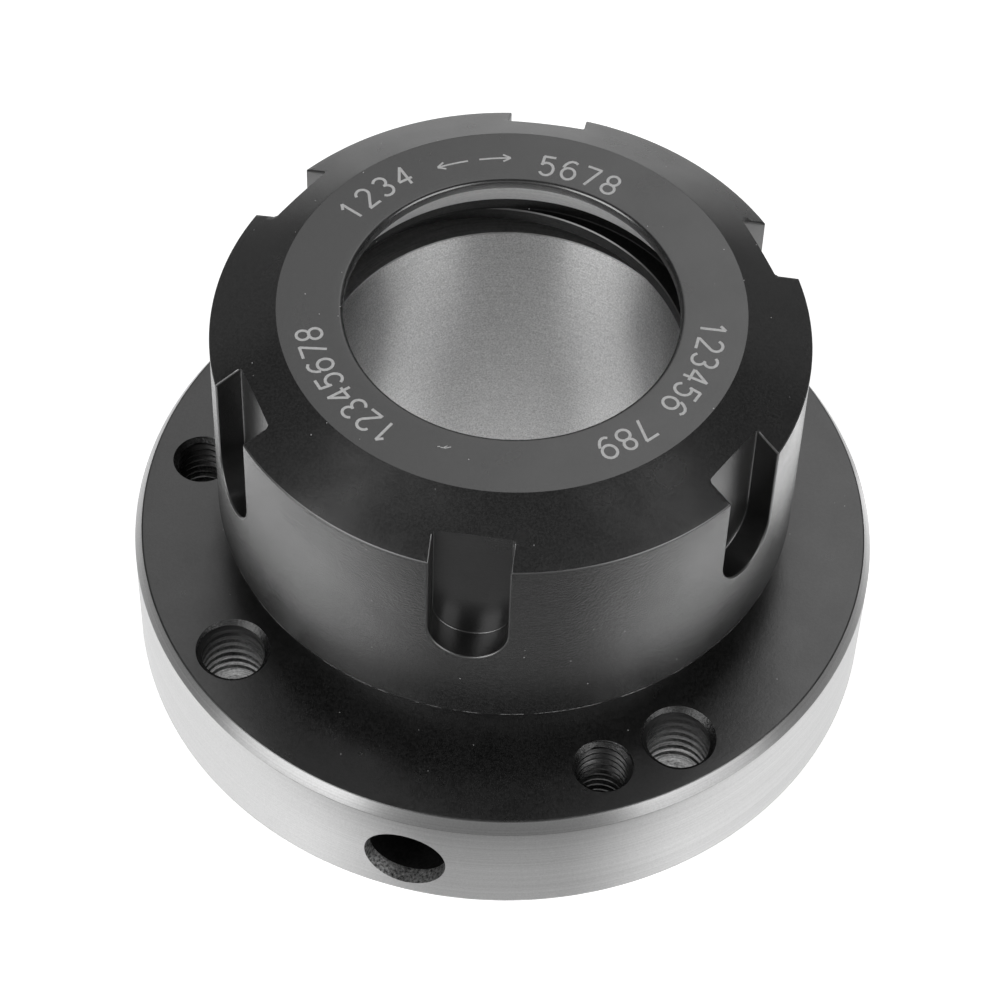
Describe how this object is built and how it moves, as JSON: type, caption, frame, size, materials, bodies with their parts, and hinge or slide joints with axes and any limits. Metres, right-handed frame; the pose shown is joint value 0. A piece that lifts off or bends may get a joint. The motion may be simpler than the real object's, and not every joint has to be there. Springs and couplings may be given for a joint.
{
  "type": "collet chuck",
  "caption": "Flange-back lathe collet chuck with a taper seat and a black screwed clamping nut with spanner slots.",
  "frame": {"origin": "middle of the flange's back face, on the chuck's axis", "axes": "+Z along the chuck's axis, from the flange towards the nut's face"},
  "size_m": [0.1016, 0.1016, 0.0625],
  "materials": {
    "body_steel": "black oxide, with the rim turned bright and the taper ground bright",
    "nut_steel": "black oxide, satin, with the inner cone ground bright"
  },
  "bodies": {
    "chuck_body": {"chuck_body": "body_steel"},
    "clamping_nut": {"clamping_nut": "nut_steel"}
  },
  "joints": [
    {"name": "nut_turn", "type": "hinge", "parent": "chuck_body", "child": "clamping_nut", "pos_m": [0, 0, 0.0264], "axis": [0, 0, 1], "range_deg": [-234, 3564]}
  ]
}
